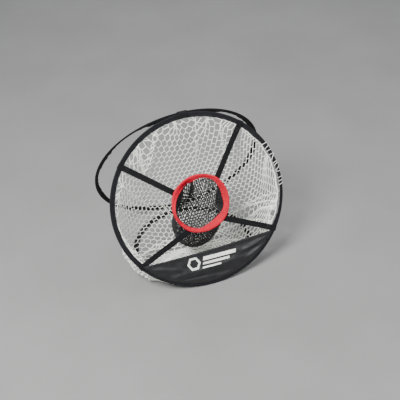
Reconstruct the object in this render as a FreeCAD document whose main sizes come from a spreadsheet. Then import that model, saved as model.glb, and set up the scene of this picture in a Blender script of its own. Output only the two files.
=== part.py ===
import FreeCAD, Part

import os
from math import radians

import Sketcher
from FreeCAD import Placement, Rotation, Vector

# A free-standing golf chipping net: three sprung hoops in fabric sleeves stand as an A-frame.
# The front hoop leans back and carries the nets, the straps, the target ring and the panel.
# The rear hoop is seamed to it at the top, and the base hoop lies on the ground between them.
# +Z is up, -Y is the side that the ball comes from, and the origin is on the ground, under the
# middle of the frame's box. Sizes are millimetres and degrees.

SIZES = {
    "lean": 22.3,  # each large hoop's lean from the vertical
    "centre_shift": 1.0,  # the top seam's place along Y
    "ground_gap": 0.5,  # under the two leaning hoops
    "hoop_radius": 300.0,  # front and rear wires
    "base_radius": 214.4,
    "target_radius": 99.5,
    "wire_radius": 1.5,
    "end_gap": 0.1,  # angle between the two ends of a wire, inside its ferrule
    "ferrule_radius": 2.6,
    "ferrule_bore": 1.55,
    "ferrule_length": 40.0,
    "sleeve_width": 18.0,
    "sleeve_half": 4.0,  # half of a sleeve's thickness, and its edges' radius
    "sleeve_bore": 3.2,
    "wire_inset": 1.0,  # from the centre of the sleeve's outer edge in to the wire
    "seam_half": 4.7,  # from the top seam to each sleeve's edge centre, along Y
    "seam_rise": 0.4,  # from the base sleeve's top face up to the lower seam
    "seam_inset": 6.7,  # from the front sleeve's lowest edge centre back to the lower seam
    "seam_radius": 0.35,
    "seam_length": 30.0,
    "base_setback": 8.9,  # between the edge centres of the front and base sleeves
    "webbing_width": 20.0,
    "webbing_thickness": 1.6,
    "strap_gap": 0.4,  # between a strap's end and the sleeve that it is sewn into
    "panel_thickness": 1.2,
    "panel_top": 174.0,  # from the front hoop's centre down to the panel's straight edge
    "panel_radius": 303.0,
    "panel_lift": 4.4,  # from the front hoop's plane out to the panel's back
    "hem_width": 12.0,
    "hem_length": 428.0,
    "hem_lift": 3.0,
    "print_thickness": 0.3,
    "target_across": 6.5,  # the target ring's centre, from the front hoop's
    "target_down": 11.5,
    "net_thickness": 1.2,
    "cord_radius": 1.2,  # the cord through each net's edge
    "cord_depth": 2.5,
    "catch_cord": 284.0,
    "pocket_cord": 84.0,
    "tab_width": 34.0,
    "tab_leaf": 15.0,
    "tab_thickness": 0.8,
    "tab_lift": 0.4,
}

# A point on each strap's middle line beside the target ring, as across and up from the front
# hoop's centre, and the strap's direction from there in degrees.
STRAPS = {
    "strap_upper_left": (-89.0, 54.0, 140.8),
    "strap_upper_right": (84.0, 69.0, 57.1),
    "strap_lower_right": (89.0, -89.0, -24.5),
    "strap_lower_left": (-48.0, -98.0, -156.1),
}

# Sections of the two net bags: depth behind the hoop's plane, centre down the slope, radius.
CATCH_SECTIONS = (
    (3.0, 0.0, 282.0),
    (40.0, 3.0, 274.0),
    (90.0, 8.0, 248.0),
    (130.0, 38.0, 196.0),
    (152.0, 84.0, 120.0),
)
POCKET_SECTIONS = (
    (2.5, 0.0, 82.0),
    (35.0, 11.0, 86.0),
    (75.0, 29.0, 81.0),
    (108.0, 47.0, 58.0),
)

# The printed mark on the panel: stripes as (left end, down, length, height), and a hexagon
# outline as (across, down, outer radius, inner radius).
STRIPES = ((-22.0, 203.0, 118.0, 12.0), (-26.0, 219.0, 96.0, 8.0), (-30.0, 232.0, 66.0, 5.0))
HEXAGON = (-57.0, 213.0, 24.0, 16.0)

LEAN = "Sizes.lean * 1 deg"
SIN = f"sin({LEAN})"
COS = f"cos({LEAN})"
# From a large hoop's centre to the centre of its sleeve's rounded outer edge.
EDGE = "(Sizes.hoop_radius + Sizes.wire_inset)"
FOOT_Z = "(Sizes.ground_gap + Sizes.sleeve_half)"
HOOP_Z = f"({FOOT_Z} + {EDGE} * {COS})"
TOP_Z = f"({FOOT_Z} + 2 * {EDGE} * {COS})"
FRONT_Y = f"(Sizes.centre_shift - Sizes.seam_half - {EDGE} * {SIN})"
REAR_Y = f"(Sizes.centre_shift + Sizes.seam_half + {EDGE} * {SIN})"
FRONT_FOOT_Y = f"(Sizes.centre_shift - Sizes.seam_half - 2 * {EDGE} * {SIN})"
REAR_FOOT_Y = f"(Sizes.centre_shift + Sizes.seam_half + 2 * {EDGE} * {SIN})"
BASE_EDGE = "(Sizes.base_radius + Sizes.wire_inset)"
BASE_Y = f"({FRONT_FOOT_Y} + Sizes.base_setback + {BASE_EDGE})"
LOWER_SEAM_Y = f"({FRONT_FOOT_Y} + Sizes.seam_inset)"
LOWER_SEAM_Z = "(2 * Sizes.sleeve_half + Sizes.seam_rise)"

doc = FreeCAD.newDocument("chipping_net")
sheet = doc.addObject("Spreadsheet::Sheet", "Sizes")
for row, (alias, value) in enumerate(SIZES.items(), start=1):
    sheet.set(f"A{row}", alias)
    sheet.set(f"B{row}", str(value))
    sheet.setAlias(f"B{row}", alias)
doc.recompute()

nodes = []


def keep(item, label):
    """Names a finished sub-part, which is then written to a file of that name."""
    item.Label = label
    nodes.append(item)
    return item


def bind(item, **expressions):
    """Binds properties of an object to the sheet."""
    for name, expression in expressions.items():
        item.setExpression(name, str(expression))


def stand(item, turn, x, y, z):
    """Turns an object about X and puts its origin at x, y, z, which are all expressions."""
    item.Placement = Placement(Vector(), Rotation(Vector(1, 0, 0), 45))
    item.setExpression("Placement.Rotation.Angle", turn)
    item.setExpression("Placement.Base.x", x)
    item.setExpression("Placement.Base.y", y)
    item.setExpression("Placement.Base.z", z)


def on_front(item, across="0", up="0", out="0"):
    """Lays an object in the front hoop's plane: X across, Y up the slope, Z out to the front."""
    y = f"{FRONT_Y} + ({up}) * {SIN} - ({out}) * {COS}"
    z = f"{HOOP_Z} + ({up}) * {COS} + ({out}) * {SIN}"
    stand(item, f"90 deg - {LEAN}", across, y, z)


def on_rear(item, up="0", out="0"):
    """Lays an object in the rear hoop's plane: Y up the slope, Z down to the front."""
    y = f"{REAR_Y} - ({up}) * {SIN} - ({out}) * {COS}"
    z = f"{HOOP_Z} + ({up}) * {COS} - ({out}) * {SIN}"
    stand(item, f"90 deg + {LEAN}", "0", y, z)


def on_base(item):
    stand(item, "0 deg", "0", BASE_Y, "Sizes.sleeve_half")


def on_target(item, out="0"):
    on_front(item, "Sizes.target_across", "-Sizes.target_down", out)


def new_sketch(body, role, name):
    sketch = body.newObject("Sketcher::SketchObject", name)
    plane = next(f for f in body.Origin.OriginFeatures if f.Role == role)
    sketch.AttachmentSupport = (plane, "")
    sketch.MapMode = "FlatFace"
    return sketch


def constrain(sketch, name, expression, *arguments):
    """Adds a named constraint whose size is bound to the sheet."""
    index = sketch.addConstraint(Sketcher.Constraint(*arguments))
    sketch.renameConstraint(index, name)
    sketch.setExpression(f"Constraints.{name}", expression)


def circle_on_axis(sketch, name, wire, size):
    """A circle centred on the sketch's X axis, where the ring's wire crosses it."""
    at = Vector(sheet.getPropertyByName(wire), 0, 0)
    radius = sheet.getPropertyByName(size)
    circle = sketch.addGeometry(Part.Circle(at, Vector(0, 0, 1), radius), False)
    sketch.addConstraint(Sketcher.Constraint("PointOnObject", circle, 3, -1))
    constrain(sketch, f"{name}_at", f"Sizes.{wire}", "DistanceX", -1, 1, circle, 3, at.x)
    constrain(sketch, f"{name}_size", f"Sizes.{size}", "Radius", circle, radius)


def flat_tube(sketch, wire):
    """A fabric sleeve's flattened outline along the sketch's X axis, with rounded edges."""
    half = sheet.sleeve_half
    outer = sheet.getPropertyByName(wire) + sheet.wire_inset
    inner = outer - sheet.sleeve_width + 2 * half
    arcs = []
    for at, start, end in ((inner, 90, 270), (outer, -90, 90)):
        circle = Part.Circle(Vector(at, 0, 0), Vector(0, 0, 1), half)
        arc = sketch.addGeometry(Part.ArcOfCircle(circle, radians(start), radians(end)), False)
        sketch.addConstraint(Sketcher.Constraint("PointOnObject", arc, 3, -1))
        sketch.addConstraint(Sketcher.Constraint("Vertical", arc, 3, arc, 1))
        sketch.addConstraint(Sketcher.Constraint("Vertical", arc, 3, arc, 2))
        arcs.append(arc)
    for side, first, last in ((half, 1, 2), (-half, 2, 1)):
        ends = Vector(inner, side, 0), Vector(outer, side, 0)
        line = sketch.addGeometry(Part.LineSegment(*ends), False)
        sketch.addConstraint(Sketcher.Constraint("Coincident", line, 1, arcs[0], first))
        sketch.addConstraint(Sketcher.Constraint("Coincident", line, 2, arcs[1], last))
        if side > 0:
            sketch.addConstraint(Sketcher.Constraint("Horizontal", line))
    outer_at = f"Sizes.{wire} + Sizes.wire_inset"
    inner_at = f"{outer_at} - Sizes.sleeve_width + 2 * Sizes.sleeve_half"
    constrain(sketch, "half", "Sizes.sleeve_half", "Radius", arcs[1], half)
    constrain(sketch, "inner", inner_at, "DistanceX", -1, 1, arcs[0], 3, inner)
    constrain(sketch, "outer", outer_at, "DistanceX", -1, 1, arcs[1], 3, outer)


def revolved(body, sketch, angle="360 deg"):
    turn = body.newObject("PartDesign::Revolution", f"{body.Name}_turn")
    turn.Profile = sketch
    turn.ReferenceAxis = (sketch, ["V_Axis"])
    turn.Midplane = True
    turn.setExpression("Angle", angle)
    sketch.Visibility = False


def sprung_ring(label, wire_radius, place):
    """A ring of spring wire, the ferrule that closes it, and the fabric sleeve round both."""
    radius = f"Sizes.{wire_radius}"
    wire = keep(doc.addObject("Part::Torus", f"{label}_wire"), f"{label}_wire")
    turn = "360 deg - Sizes.end_gap * 1 deg"
    bind(wire, Radius1=radius, Radius2="Sizes.wire_radius", Angle3=turn)
    place(wire)

    ferrule = keep(doc.addObject("PartDesign::Body", f"{label}_ferrule"), f"{label}_ferrule")
    section = new_sketch(ferrule, "XZ_Plane", f"{label}_ferrule_section")
    circle_on_axis(section, "outside", wire_radius, "ferrule_radius")
    circle_on_axis(section, "bore", wire_radius, "ferrule_bore")
    revolved(ferrule, section, f"Sizes.ferrule_length / {radius} * 1 rad")
    place(ferrule)

    sleeve = keep(doc.addObject("PartDesign::Body", f"{label}_sleeve"), f"{label}_sleeve")
    section = new_sketch(sleeve, "XZ_Plane", f"{label}_sleeve_section")
    flat_tube(section, wire_radius)
    circle_on_axis(section, "bore", wire_radius, "sleeve_bore")
    revolved(sleeve, section)
    place(sleeve)


def disc(name, radius, across="0", up="0"):
    """A thick disc in the hoop's plane, wider than webbing on both sides."""
    cylinder = doc.addObject("Part::Cylinder", name)
    bind(cylinder, Radius=radius, Height="2 * Sizes.sleeve_half")
    cylinder.setExpression("Placement.Base.x", across)
    cylinder.setExpression("Placement.Base.y", up)
    cylinder.setExpression("Placement.Base.z", "-Sizes.sleeve_half")
    return cylinder


def strap_room():
    """The room for straps between the target ring's sleeve and the front hoop's."""
    sleeve_edge = f"{EDGE} - Sizes.sleeve_width + Sizes.sleeve_half - Sizes.strap_gap"
    ring_edge = (
        "Sizes.target_radius + Sizes.wire_inset + Sizes.sleeve_half + Sizes.strap_gap"
    )
    room = doc.addObject("Part::Cut", "strap_room")
    room.Base = disc("hoop_room", sleeve_edge)
    room.Tool = disc("ring_room", ring_edge, "Sizes.target_across", "-Sizes.target_down")
    return room


def strap(label, across, up, angle, room):
    """Flat webbing from the target ring's sleeve to the front hoop's."""
    webbing = doc.addObject("Part::Box", f"{label}_webbing")
    turn = Rotation(Vector(0, 0, 1), angle)
    width, thickness = sheet.webbing_width, sheet.webbing_thickness
    corner = turn.multVec(Vector(-width, -width / 2, -thickness / 2))
    webbing.Placement = Placement(Vector(across, up, 0) + corner, turn)
    bind(webbing, Length=EDGE, Width="Sizes.webbing_width", Height="Sizes.webbing_thickness")
    strip = keep(doc.addObject("Part::Common", label), label)
    strip.Base, strip.Tool = webbing, room
    on_front(strip)


def panel():
    """Nylon sheet over the front hoop's lower segment, cut straight along its top."""
    body = keep(doc.addObject("PartDesign::Body", "front_panel"), "front_panel")
    sketch = new_sketch(body, "XY_Plane", "front_panel_outline")
    radius, down = sheet.panel_radius, sheet.panel_top
    half = (radius**2 - down**2) ** 0.5
    ends = Vector(-half, -down, 0), Vector(half, -down, 0)
    arc = sketch.addGeometry(Part.Arc(ends[0], Vector(0, -radius, 0), ends[1]), False)
    edge = sketch.addGeometry(Part.LineSegment(ends[1], ends[0]), False)
    sketch.addConstraint(Sketcher.Constraint("Coincident", arc, 2, edge, 1))
    sketch.addConstraint(Sketcher.Constraint("Coincident", edge, 2, arc, 1))
    sketch.addConstraint(Sketcher.Constraint("Coincident", arc, 3, -1, 1))
    sketch.addConstraint(Sketcher.Constraint("Horizontal", edge))
    constrain(sketch, "radius", "Sizes.panel_radius", "Radius", arc, radius)
    constrain(sketch, "down", "Sizes.panel_top", "DistanceY", edge, 1, -1, 1, down)
    pad = body.newObject("PartDesign::Pad", "front_panel_pad")
    pad.Profile = sketch
    pad.setExpression("Length", "Sizes.panel_thickness")
    sketch.Visibility = False
    on_front(body, out="Sizes.panel_lift")


def block(name, length, width, height, x="0", y="0", z="0"):
    """A box whose corner is at x, y, z, with every size bound."""
    box = doc.addObject("Part::Box", name)
    bind(box, Length=length, Width=width, Height=height)
    box.setExpression("Placement.Base.x", str(x))
    box.setExpression("Placement.Base.y", str(y))
    box.setExpression("Placement.Base.z", str(z))
    return box


def panel_hem():
    """The panel's folded top edge, a tape along its back."""
    hem = keep(doc.addObject("Part::Box", "front_panel_hem"), "front_panel_hem")
    thickness = "Sizes.panel_lift - Sizes.hem_lift - 0.1"
    bind(hem, Length="Sizes.hem_length", Width="Sizes.hem_width", Height=thickness)
    down = "-Sizes.panel_top - Sizes.hem_width"
    on_front(hem, "-Sizes.hem_length / 2", down, "Sizes.hem_lift")


def panel_print():
    """A generic printed mark: a hexagon outline and three stripes."""
    thickness = "Sizes.print_thickness"
    across, down, outer, inner = HEXAGON
    prisms = []
    for name, radius in (("hexagon_outside", outer), ("hexagon_inside", inner)):
        prism = doc.addObject("Part::Prism", name)
        prism.Polygon = 6
        prism.Circumradius = radius
        prism.Placement.Base = Vector(across, -down, 0)
        bind(prism, Height=thickness)
        prisms.append(prism)
    outline = doc.addObject("Part::Cut", "hexagon_outline")
    outline.Base, outline.Tool = prisms
    stripes = [
        block(f"stripe_{count}", length, height, thickness, left, -down - height)
        for count, (left, down, length, height) in enumerate(STRIPES)
    ]
    mark = keep(doc.addObject("Part::Compound", "panel_print"), "panel_print")
    mark.Links = [outline, *stripes]
    on_front(mark, out="Sizes.panel_lift + Sizes.panel_thickness + 0.05")


def lofted(name, sections):
    """A solid through circles that are given by depth, centre down the slope and radius."""
    circles = []
    for count, (depth, down, radius) in enumerate(sections):
        circle = doc.addObject("Part::Circle", f"{name}_{count}")
        circle.Placement.Base = Vector(0, -down, -depth)
        circle.setExpression("Radius", str(radius))
        circles.append(circle)
    loft = doc.addObject("Part::Loft", name)
    loft.Sections = circles
    loft.Solid = True
    return loft


def net_bag(label, sections, place):
    """A bag of netting as a thin shell: open at its mouth, closed at its far end."""
    wall = "Sizes.net_thickness"
    outside = lofted(f"{label}_outside", sections)
    inside = [(depth, down, f"{radius} - {wall}") for depth, down, radius in sections]
    last_depth, last_down, last_radius = inside[-1]
    inside[-1] = (last_depth - sheet.net_thickness, last_down, last_radius)
    hollow = lofted(f"{label}_inside", inside)
    depth, down, radius = inside[0]
    mouth = doc.addObject("Part::Cylinder", f"{label}_mouth")
    mouth.Placement.Base = Vector(0, -down, -depth)
    bind(mouth, Radius=radius, Height="Sizes.sleeve_half")
    room = doc.addObject("Part::Fuse", f"{label}_room")
    room.Base, room.Tool = hollow, mouth
    bag = keep(doc.addObject("Part::Cut", label), label)
    bag.Base, bag.Tool = outside, room
    place(bag)


def edge_cord(label, radius, place):
    """The cord that gathers a net's edge inside its ring."""
    cord = keep(doc.addObject("Part::Torus", label), label)
    bind(cord, Radius1=radius, Radius2="Sizes.cord_radius")
    place(cord, out="-Sizes.cord_depth")


def seam(label, y, z):
    """A row of stitching that two sleeves turn about, as one thread along X."""
    thread = keep(doc.addObject("Part::Cylinder", label), label)
    bind(thread, Radius="Sizes.seam_radius", Height="Sizes.seam_length")
    thread.Placement = Placement(Vector(), Rotation(Vector(0, 1, 0), 90))
    thread.setExpression("Placement.Base.x", "-Sizes.seam_length / 2")
    thread.setExpression("Placement.Base.y", y)
    thread.setExpression("Placement.Base.z", z)


def tab(label, leaves):
    """A strip of tape folded over two sleeves: flat leaves joined into one solid."""
    strip = keep(doc.addObject("Part::MultiFuse", label), label)
    strip.Shapes = leaves


def leaf(name, length, thickness="Sizes.tab_thickness"):
    box = doc.addObject("Part::Box", name)
    bind(box, Length="Sizes.tab_width", Width=length, Height=thickness)
    return box


def top_tab():
    """Tape over the top of the front and rear sleeves."""
    half = "-Sizes.tab_width / 2"
    lift = "Sizes.sleeve_half + Sizes.tab_lift"
    end = f"{EDGE} + {lift}"
    front = leaf("top_tab_front", f"Sizes.tab_leaf + {lift}")
    on_front(front, half, f"{end} - Sizes.tab_leaf - ({lift})", lift)
    rear = leaf("top_tab_rear", f"Sizes.tab_leaf + {lift}")
    y = f"{REAR_Y} - ({end} - Sizes.tab_leaf - ({lift})) * {SIN} + ({lift}) * {COS}"
    z = f"{HOOP_Z} + ({end} - Sizes.tab_leaf - ({lift})) * {COS} + ({lift}) * {SIN}"
    y += f" + Sizes.tab_thickness * {COS}"
    z += f" + Sizes.tab_thickness * {SIN}"
    stand(rear, f"90 deg + {LEAN}", half, y, z)
    reach = f"(Sizes.seam_half + ({lift}) * ({COS} + {SIN}) + Sizes.tab_thickness)"
    bridge = block(
        "top_tab_bridge",
        "Sizes.tab_width",
        f"2 * {reach}",
        "Sizes.tab_thickness + 0.6",
        half,
        f"Sizes.centre_shift - {reach}",
        f"{TOP_Z} + {lift} - 0.1",
    )
    tab("top_hinge_tab", [front, rear, bridge])


def front_tab():
    """Tape in the corner between the front sleeve and the base sleeve."""
    half = "-Sizes.tab_width / 2"
    lift = "Sizes.sleeve_half + Sizes.tab_lift"
    up = leaf("front_tab_up", "Sizes.tab_leaf - 6")
    on_front(up, half, f"-{EDGE} + 7", f"-({lift}) - Sizes.tab_thickness")
    flat = leaf("front_tab_flat", "Sizes.tab_leaf + 2")
    y = f"{LOWER_SEAM_Y} + 0.7"
    stand(flat, "0 deg", half, y, "2 * Sizes.sleeve_half + Sizes.tab_lift")
    tab("front_base_tab", [up, flat])


def rear_tab():
    """Tape from the rear sleeve's foot to the base sleeve, across the gap between them."""
    half = "-Sizes.tab_width / 2"
    lift = "Sizes.sleeve_half + Sizes.tab_lift"
    up = leaf("rear_tab_up", "Sizes.tab_leaf")
    on_rear(up, f"-{EDGE} + 3", lift)
    up.setExpression("Placement.Base.x", half)
    flat = leaf("rear_tab_flat", "Sizes.tab_leaf + 17.3")
    y = f"{REAR_FOOT_Y} - Sizes.tab_leaf - 24"
    stand(flat, "0 deg", half, y, "2 * Sizes.sleeve_half + Sizes.tab_lift")
    tab("rear_base_tab", [up, flat])


sprung_ring("front_hoop", "hoop_radius", on_front)
sprung_ring("rear_hoop", "hoop_radius", on_rear)
sprung_ring("base_hoop", "base_radius", on_base)
sprung_ring("target_ring", "target_radius", on_target)
room_for_straps = strap_room()
for strap_label, (strap_across, strap_up, strap_angle) in STRAPS.items():
    strap(strap_label, strap_across, strap_up, strap_angle, room_for_straps)
panel()
panel_hem()
panel_print()
net_bag("catch_net", CATCH_SECTIONS, on_front)
edge_cord("catch_net_edge_cord", "Sizes.catch_cord", on_front)
net_bag("pocket_net", POCKET_SECTIONS, on_target)
edge_cord("pocket_net_edge_cord", "Sizes.pocket_cord", on_target)
seam("top_seam", "Sizes.centre_shift", TOP_Z)
seam("lower_seam", LOWER_SEAM_Y, LOWER_SEAM_Z)
top_tab()
front_tab()
rear_tab()
doc.recompute()

failed = [o.Name for o in doc.Objects if {"Invalid", "Error"} & set(o.State)]
if failed:
    raise RuntimeError(f"these objects failed to compute: {failed}")
for node in nodes:
    if node.Shape.isNull() or not node.Shape.isValid() or node.Shape.Volume <= 0:
        raise RuntimeError(f"{node.Label} has no valid solid")
os.makedirs("parts", exist_ok=True)
for node in nodes:
    node.Shape.exportStep(f"parts/{node.Label}.step")
    box = node.Shape.optimalBoundingBox()
    print(
        f"{node.Label:24s} solids {len(node.Shape.Solids)} volume {node.Shape.Volume:10.0f}"
        f"  x {box.XMin:7.1f} {box.XMax:7.1f}  y {box.YMin:7.1f} {box.YMax:7.1f}"
        f"  z {box.ZMin:7.1f} {box.ZMax:7.1f}"
    )
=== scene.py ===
"""A golf chipping net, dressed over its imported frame: tapes, webbing, nylon and knotted netting."""

import math

import bpy
import numpy as np
from mathutils import Matrix, Vector


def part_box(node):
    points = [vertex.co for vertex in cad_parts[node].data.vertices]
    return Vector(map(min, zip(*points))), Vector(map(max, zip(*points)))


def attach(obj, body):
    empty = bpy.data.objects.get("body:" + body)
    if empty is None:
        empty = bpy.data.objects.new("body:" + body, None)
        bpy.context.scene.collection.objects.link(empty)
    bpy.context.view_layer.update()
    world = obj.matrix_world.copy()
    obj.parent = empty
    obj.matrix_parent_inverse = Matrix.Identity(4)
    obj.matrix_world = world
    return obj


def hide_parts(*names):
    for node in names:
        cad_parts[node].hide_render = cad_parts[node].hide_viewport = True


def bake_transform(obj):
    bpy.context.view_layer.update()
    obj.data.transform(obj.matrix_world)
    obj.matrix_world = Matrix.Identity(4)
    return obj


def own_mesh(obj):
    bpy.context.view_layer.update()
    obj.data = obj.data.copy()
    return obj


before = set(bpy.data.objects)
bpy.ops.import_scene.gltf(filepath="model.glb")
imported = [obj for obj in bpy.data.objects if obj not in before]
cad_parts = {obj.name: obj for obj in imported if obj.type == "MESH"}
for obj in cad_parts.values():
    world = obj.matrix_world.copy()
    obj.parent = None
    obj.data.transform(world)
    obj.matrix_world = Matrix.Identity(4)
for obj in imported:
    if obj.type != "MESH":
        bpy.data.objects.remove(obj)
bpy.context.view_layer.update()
MM = 0.001
LEAN = math.radians(22.3)
HOOP_RADIUS = 0.300
BASE_RADIUS = 0.2144
TARGET_RADIUS = 0.0995
X = np.array((1.0, 0.0, 0.0))


# ---------------------------------------------------------------- planes and meshes


class Plane:
    """A hoop's plane: its centre, and unit vectors across, up its slope and out of it."""

    def __init__(self, node, up):
        low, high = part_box(node)
        self.centre = (np.array(low) + np.array(high)) / 2
        self.up = np.array(up)
        self.out = np.cross(X, self.up)

    def at(self, across, up, out=0.0):
        across, up, out = np.broadcast_arrays(across, up, out)
        parts = across[..., None] * X + up[..., None] * self.up + out[..., None] * self.out
        return self.centre + parts


FRONT_UP = (0.0, math.sin(LEAN), math.cos(LEAN))
FRONT = Plane("front_hoop_wire", FRONT_UP)
TARGET = Plane("target_ring_wire", FRONT_UP)
REAR = Plane("rear_hoop_wire", (0.0, -math.sin(LEAN), math.cos(LEAN)))
BASE = Plane("base_hoop_wire", (0.0, 1.0, 0.0))


def new_mesh(name, points, faces, uv=None, flat=0):
    """A mesh object of points and faces, the last few of them flat. uv holds one pair, in
    metres, for each face corner."""
    mesh = bpy.data.meshes.new(name)
    mesh.from_pydata(points.reshape(-1, 3).tolist(), [], faces)
    if uv is not None:
        layer = mesh.uv_layers.new(name="metres")
        layer.data.foreach_set("uv", np.asarray(uv, np.float32).ravel())
    mesh.polygons.foreach_set("use_smooth", [True] * (len(faces) - flat) + [False] * flat)
    mesh.update()
    piece = bpy.data.objects.new(name, mesh)
    bpy.context.scene.collection.objects.link(piece)
    return piece


def grid_faces(rows, columns, u, v, wrap):
    """Faces through rows and columns of points, and their uv. u and v are metres along rows and
    columns. A wrapped direction closes on itself, and has one more entry in its u or v."""
    r = np.arange(rows if wrap[0] else rows - 1)
    c = np.arange(columns if wrap[1] else columns - 1)
    r, c = (a.ravel() for a in np.meshgrid(r, c, indexing="ij"))
    corners = ((r, c), (r + 1, c), (r + 1, c + 1), (r, c + 1))
    faces = np.stack([(a % rows) * columns + b % columns for a, b in corners], axis=1)
    uv = np.stack([np.stack((u[a], v[b]), axis=1) for a, b in corners], axis=1)
    return faces.tolist(), uv


def grid(name, points, u, v, wrap=(False, False)):
    """A mesh through rows and columns of points."""
    return new_mesh(name, points, *grid_faces(*points.shape[:2], u, v, wrap))


def tubes(name, points):
    """One mesh of many closed tubes; points is tubes by rings by corners by 3."""
    many, rings, corners = points.shape[:3]
    r, c = np.meshgrid(np.arange(rings - 1), np.arange(corners), indexing="ij")
    r, c = r.ravel() * corners, c.ravel()
    d = (c + 1) % corners
    quads = np.stack((r + c, r + d, r + corners + d, r + corners + c), 1)
    first = np.arange(many)[:, None, None] * rings * corners
    sides = (quads[None] + first).reshape(-1, 4)
    near = np.arange(corners)[::-1] + first[:, 0]
    far = np.arange(corners) + (rings - 1) * corners + first[:, 0]
    return new_mesh(name, points, sides.tolist() + near.tolist() + far.tolist())


def unit(vectors):
    """Rows of vectors, each made 1 long."""
    return vectors / np.linalg.norm(vectors, axis=1)[:, None]


def circles(count, a, b):
    """A circle of count points in the plane of each pair of vectors a and b."""
    turn = np.arange(count) * 2 * math.pi / count
    return np.cos(turn)[None, :, None] * a[:, None] + np.sin(turn)[None, :, None] * b[:, None]


def ripple(angle, seed, low, high, size):
    """A smooth closed wave of about that size, from sines of low to high turns."""
    rng = np.random.default_rng(seed)
    turns = np.arange(low, high + 1)
    phases = rng.uniform(0, 2 * math.pi, len(turns))
    weights = rng.uniform(0.5, 1.0, len(turns)) / math.sqrt(len(turns))
    waves = np.sin(np.multiply.outer(angle, turns) + phases)
    return size * 1.6 * (waves @ weights)


def smooth_path(points, rounds=3):
    """A path with its corners cut, with its two ends kept."""
    path = np.array(points, float)
    for _ in range(rounds):
        near = 0.75 * path[:-1] + 0.25 * path[1:]
        far = 0.25 * path[:-1] + 0.75 * path[1:]
        inside = np.stack((near, far), axis=1).reshape(-1, path.shape[1])
        path = np.vstack((path[:1], inside, path[-1:]))
    return path


def lengths_along(path):
    """How far along a path each of its points is."""
    steps = np.linalg.norm(np.diff(path, axis=0), axis=1)
    return np.concatenate(([0.0], np.cumsum(steps)))


def bump_at(angle, centres, width):
    """1 at each centre angle, in degrees, and 0 more than about a width from all of them."""
    value = np.zeros_like(angle)
    for centre in centres:
        off = np.angle(np.exp(1j * (angle - math.radians(centre))))
        value = np.maximum(value, np.exp(-((off / math.radians(width)) ** 2)))
    return value


# ---------------------------------------------------------------- materials


def set_inputs(node, values):
    """Sets inputs by name, with _ for a space."""
    for key, value in values.items():
        node.inputs[key.replace("_", " ")].default_value = value


class Nodes:
    """Builds one material's node tree."""

    def __init__(self, name, **values):
        self.material = bpy.data.materials.new(name)
        self.material.use_nodes = True
        self.tree = self.material.node_tree
        self.shader = self.tree.nodes["Principled BSDF"]
        set_inputs(self.shader, values)

    def node(self, kind, links=None, settings=None, **values):
        node = self.tree.nodes.new(kind)
        for key, value in (settings or {}).items():
            setattr(node, key, value)
        set_inputs(node, values)
        for key, source in (links or {}).items():
            self.tree.links.new(source, node.inputs[key])
        return node

    def place(self, kind):
        return self.node("ShaderNodeTexCoord").outputs[kind]

    def noise(self, place, scale, detail=3.0):
        links = {"Vector": place}
        return self.node("ShaderNodeTexNoise", links, Scale=scale, Detail=detail).outputs["Fac"]

    def wave(self, place, direction, scale):
        settings = {"wave_type": "BANDS", "bands_direction": direction}
        return self.node("ShaderNodeTexWave", {"Vector": place}, settings, Scale=scale).outputs["Fac"]

    def weave(self, place, pitch):
        """Crossed threads at a pitch in metres."""
        # A wave texture of scale s repeats every 2 pi / 20 s metres.
        scale = 2 * math.pi / (20 * pitch)
        threads = self.math("ADD", self.wave(place, "X", scale), self.wave(place, "Y", scale))
        return self.math("MULTIPLY", threads, 0.5)

    def math(self, operation, a, b):
        node = self.node("ShaderNodeMath", settings={"operation": operation})
        for socket, value in zip(node.inputs, (a, b)):
            if isinstance(value, (int, float)):
                socket.default_value = value
            else:
                self.tree.links.new(value, socket)
        return node.outputs[0]

    def ramp(self, factor, stops):
        node = self.node("ShaderNodeValToRGB", {"Fac": factor})
        elements = node.color_ramp.elements
        while len(elements) < len(stops):
            elements.new(0.5)
        for element, (position, color) in zip(elements, stops):
            element.position = position
            element.color = (*color, 1.0)
        return node.outputs["Color"]

    def shaded(self, factor, color, spread, low, high):
        """A colour, made darker where the factor is low and lighter where it is high."""
        stops = ((low, 1 - spread), (0.5, 1.0), (high, 1 + spread))
        return self.ramp(factor, [(at, [min(1.0, c * k) for c in color]) for at, k in stops])

    def finish(self, color, height=None, strength=0.5, distance=0.0005):
        self.tree.links.new(color, self.shader.inputs["Base Color"])
        if height is not None:
            links = {"Height": height}
            bump = self.node("ShaderNodeBump", links, Strength=strength, Distance=distance)
            self.tree.links.new(bump.outputs["Normal"], self.shader.inputs["Normal"])
        return self.material


def woven(name, color, pitch, sheen, roughness=0.8, spread=0.25, depth=0.0003):
    """Plain weave: threads over and under at a pitch in metres, with soft uneven colour and painted
    shade that darkens the hollows between the threads.
    """
    soft = {"Sheen_Weight": sheen, "Sheen_Roughness": 0.4, "Specular_IOR_Level": 0.16}
    nodes = Nodes(name, Roughness=roughness, **soft)
    place = nodes.place("UV")
    weave = nodes.weave(place, pitch)
    patch = nodes.noise(place, 60.0)
    grain = nodes.noise(place, 1500.0, 2.0)
    # Painted shade: the colour follows the weave, a little darker in the hollows between its threads.
    threads = nodes.math("MULTIPLY", weave, 0.2)
    tone = nodes.math("ADD", nodes.math("MULTIPLY", patch, 0.6), threads)
    tone = nodes.math("ADD", tone, nodes.math("MULTIPLY", grain, 0.2))
    height = nodes.math("ADD", weave, nodes.math("MULTIPLY", grain, 0.5))
    return nodes.finish(nodes.shaded(tone, color, spread, 0.3, 0.72), height, 0.6, depth)


def yarn(name, color, spread=0.2, sheen=0.2):
    """Twisted plastic yarn with fine fibre and a little soiling."""
    nodes = Nodes(name, Roughness=0.6, Sheen_Weight=sheen)
    place = nodes.place("Object")
    patch = nodes.noise(place, 25.0)
    fibre = nodes.noise(place, 1800.0, 2.0)
    tone = nodes.math("ADD", nodes.math("MULTIPLY", patch, 0.6), nodes.math("MULTIPLY", fibre, 0.4))
    return nodes.finish(nodes.shaded(tone, color, spread, 0.32, 0.7), fibre, 0.6, 0.0003)


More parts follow.
